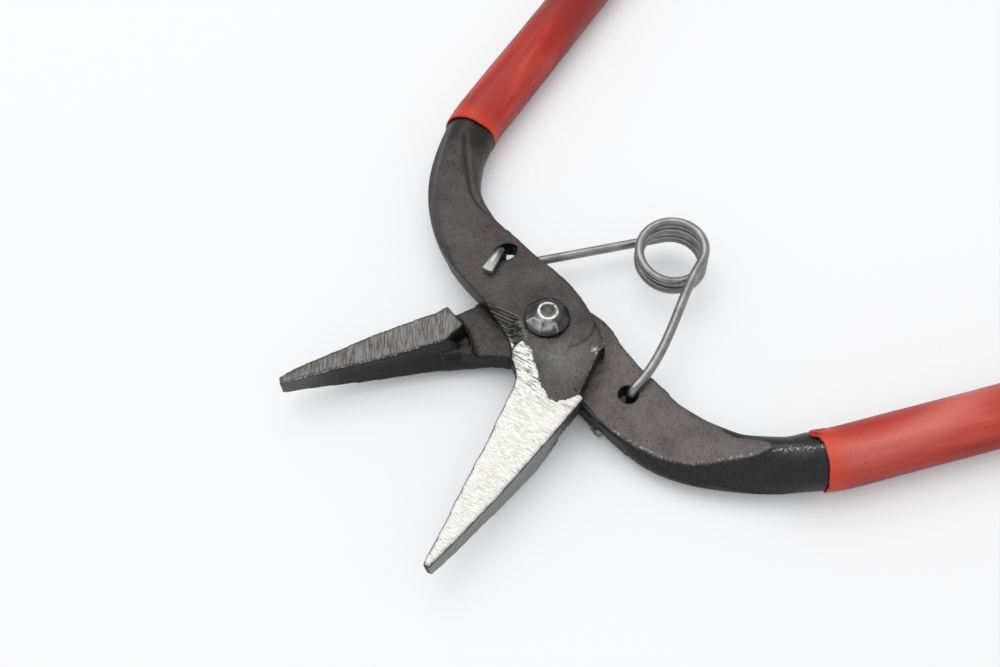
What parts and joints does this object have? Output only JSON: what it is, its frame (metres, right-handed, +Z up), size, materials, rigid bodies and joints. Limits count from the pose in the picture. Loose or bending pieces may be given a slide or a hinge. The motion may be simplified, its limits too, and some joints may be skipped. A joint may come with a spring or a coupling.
{
  "type": "looping pliers",
  "caption": "Looping pliers with slim tapering jaws, a riveted lap pivot, bowed handles in red dipped sleeves and a coiled wire return spring.",
  "frame": {"origin": "on the pivot axis, at the rivet's flat foot, where the pliers rest on the table", "axes": "+Z up along the pivot axis, +X from the open jaws towards the handles, +Y across, towards the upper lever's handle"},
  "size_m": [0.1392, 0.1602, 0.0123],
  "materials": {
    "forged_steel": "dark forged skin with ground jaw faces",
    "rivet_steel": "hammered",
    "spring_wire": "drawn wire, satin",
    "grip_red": "dipped, glossy and worn"
  },
  "bodies": {
    "lower": {"lower_lever": "forged_steel", "pivot_rivet": "rivet_steel", "lower_sleeve": "grip_red"},
    "upper": {"upper_lever": "forged_steel", "upper_sleeve": "grip_red"},
    "spring": {"torsion_spring": "spring_wire"},
    "spring_leg": {"spring_upper_leg": "spring_wire"}
  },
  "joints": [
    {"name": "pivot", "type": "hinge", "parent": "lower", "child": "upper", "pos_m": [0, 0, 0], "axis": [0, 0, -1], "range_deg": [0, 51.4], "stiffness_Nm_per_rad": 0.5, "springref_deg": -20.05},
    {"name": "spring_swing", "type": "hinge", "parent": "lower", "child": "spring", "pos_m": [0.00208, -0.0189, 0], "axis": [0, 0, -1], "range_deg": [0, 31]},
    {"name": "spring_wind", "type": "hinge", "parent": "spring", "child": "spring_leg", "pos_m": [0.0274, -0.0032, 0], "axis": [0, 0, 1], "range_deg": [0, 13.1]}
  ],
  "couplings": [
    {"joint": "spring_swing", "follows": "pivot", "ratio": 0.5951},
    {"joint": "spring_wind", "follows": "pivot", "ratio": 0.247}
  ]
}
